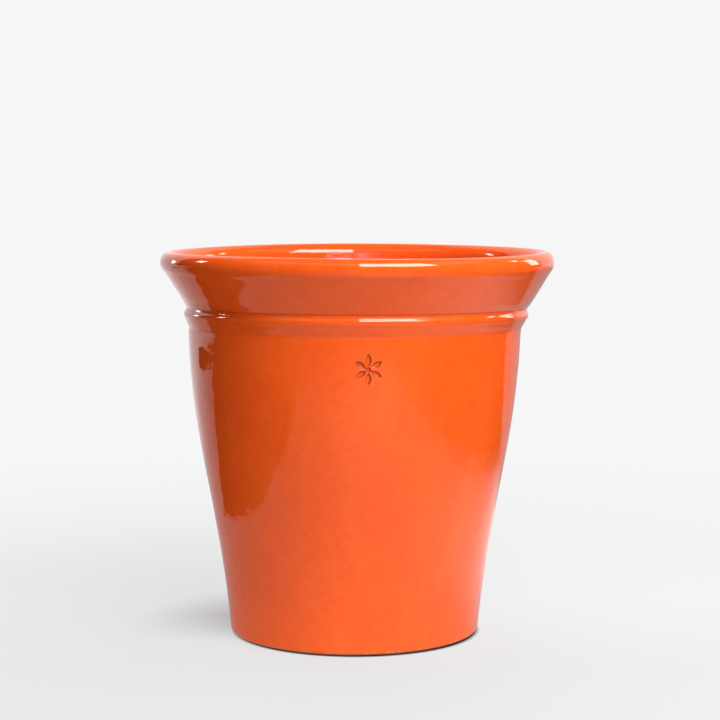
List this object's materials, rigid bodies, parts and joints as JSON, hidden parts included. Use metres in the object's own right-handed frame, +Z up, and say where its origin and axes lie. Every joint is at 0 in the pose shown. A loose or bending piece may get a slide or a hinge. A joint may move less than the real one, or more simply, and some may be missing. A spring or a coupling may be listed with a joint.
{
  "type": "glazed terracotta planter pot",
  "caption": "Round glazed terracotta planter with a tapered wall, a beaded ledge, a flared collar, a rolled rim and an open drain hole.",
  "frame": {"origin": "centre of the foot, on the plane that the pot stands on", "axes": "+Z up along the pot's axis; -Y is the front, the side with the pressed stamp"},
  "size_m": [0.3068, 0.3068, 0.3],
  "materials": {
    "fired_clay": "unglazed, matte and slightly gritty",
    "orange_glaze": "clear gloss over a saturated orange"
  },
  "bodies": {
    "root": {"pot_body": "fired_clay", "rim_collar": "fired_clay", "glaze_outside": "orange_glaze", "glaze_inside": "orange_glaze"}
  },
  "joints": []
}
